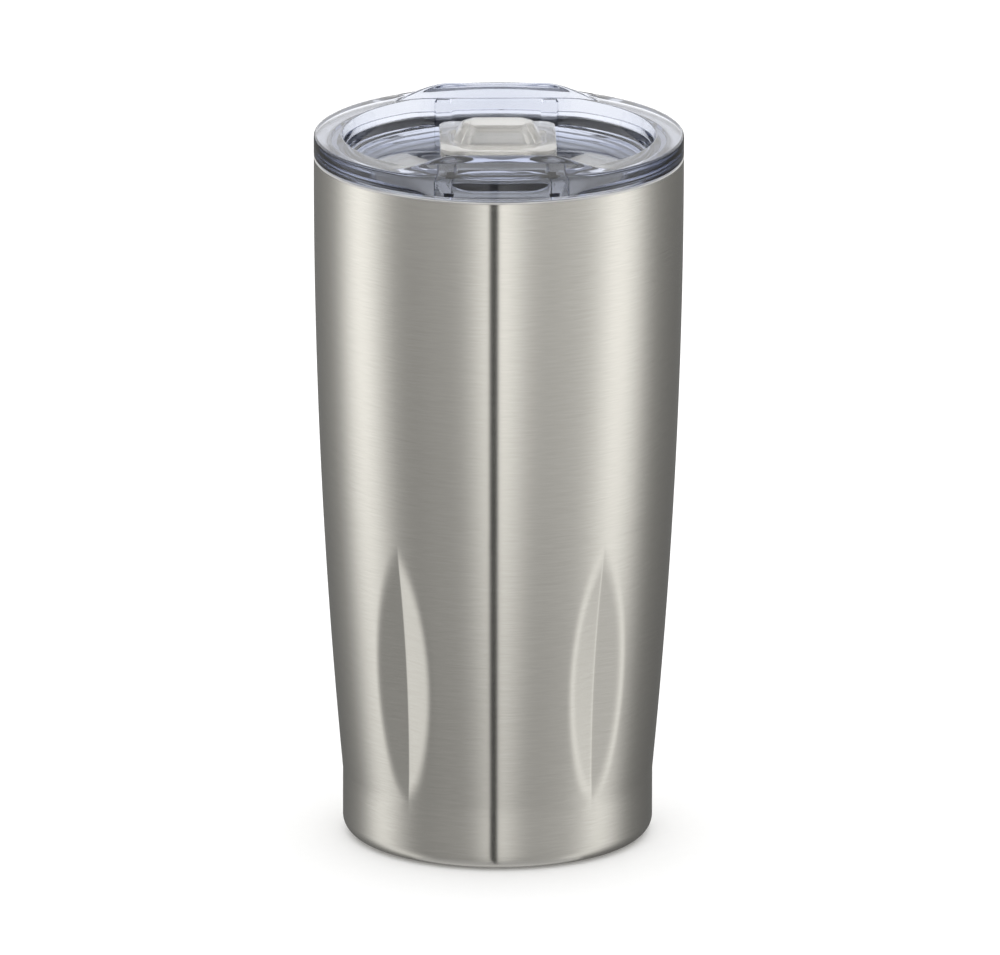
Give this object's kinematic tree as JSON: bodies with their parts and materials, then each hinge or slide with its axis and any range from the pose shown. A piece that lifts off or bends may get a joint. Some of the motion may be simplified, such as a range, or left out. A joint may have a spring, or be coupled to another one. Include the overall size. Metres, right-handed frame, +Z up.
{
  "type": "insulated tumbler with lid",
  "caption": "Double-wall vacuum steel tumbler with leaf-shaped grip dimples, a clear push-on lid with raised drinking lips and a sliding closure.",
  "frame": {"origin": "centre of the base, on the surface the cup stands on", "axes": "+Z up along the cup, -Y towards the side that is drunk from, +X to the right when seen from that side"},
  "size_m": [0.0858, 0.0858, 0.1713],
  "materials": {
    "brushed_steel": "brushed round the cup",
    "inner_steel": "satin, as drawn and electropolished",
    "copper_foil": "bright copper foil",
    "getter_pill": "sintered grey",
    "seal_glass": "solder glass bead",
    "clear_plastic": "clear with a faint blue violet tint",
    "silicone": "translucent silicone",
    "milky_plastic": "translucent milky, satin"
  },
  "bodies": {
    "cup": {"outer_shell": "brushed_steel", "inner_liner": "inner_steel", "liner_bottom": "inner_steel", "radiation_foil": "copper_foil", "vacuum_base": "inner_steel", "getter": "getter_pill", "getter_clip": "inner_steel", "evacuation_seal": "seal_glass", "base_cover": "brushed_steel"},
    "seal": {"lid_seal": "silicone"},
    "lid": {"lid_body": "clear_plastic"},
    "slider": {"lid_slider": "milky_plastic"}
  },
  "joints": [
    {"name": "lid_lift", "type": "slide", "parent": "cup", "child": "seal", "axis": [0, 0, 1], "range_m": [0, 0.04]},
    {"name": "lid_turn", "type": "hinge", "parent": "seal", "child": "lid", "pos_m": [0, 0, 0.1625], "axis": [0, 0, 1], "continuous": true},
    {"name": "slider_travel", "type": "slide", "parent": "lid", "child": "slider", "axis": [0, -1, 0], "range_m": [0, 0.027]}
  ]
}
